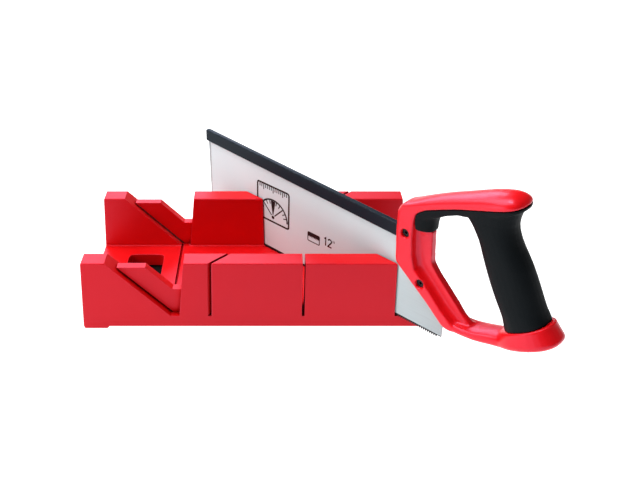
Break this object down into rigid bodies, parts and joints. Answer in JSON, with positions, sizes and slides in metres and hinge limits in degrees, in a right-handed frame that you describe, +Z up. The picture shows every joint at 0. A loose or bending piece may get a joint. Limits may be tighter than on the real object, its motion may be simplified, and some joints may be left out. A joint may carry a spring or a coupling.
{
  "type": "mitre box with back saw",
  "caption": "Moulded U-shaped mitre box with slots for 45, 90 and 135 degree cuts and a bevel, and a stiff-backed saw with a closed handle standing in a diagonal slot.",
  "frame": {"origin": "middle of the plan of the whole with the saw at rest, on the surface that the box stands on", "axes": "+X along the box to the right of the user, +Y from the user towards the rear wall, +Z up"},
  "size_m": [0.4148, 0.3064, 0.1837],
  "materials": {
    "box_plastic": "satin moulded",
    "blade_steel": "ground sheet",
    "back_steel": "dark lacquered",
    "handle_plastic": "semi-gloss moulded",
    "handle_rubber": "soft matt",
    "fastener_steel": "blackened"
  },
  "bodies": {
    "box": {"mitre_box": "box_plastic"},
    "saw": {"saw_blade": "blade_steel", "blade_back": "back_steel", "handle_core": "handle_plastic", "handle_rubber": "handle_rubber", "screw_upper": "fastener_steel", "nut_upper": "fastener_steel", "screw_lower": "fastener_steel", "nut_lower": "fastener_steel"}
  },
  "joints": [
    {"name": "saw_stroke", "type": "slide", "parent": "box", "child": "saw", "axis": [0.7071, -0.7071, 0], "range_m": [0, 0.08]}
  ]
}
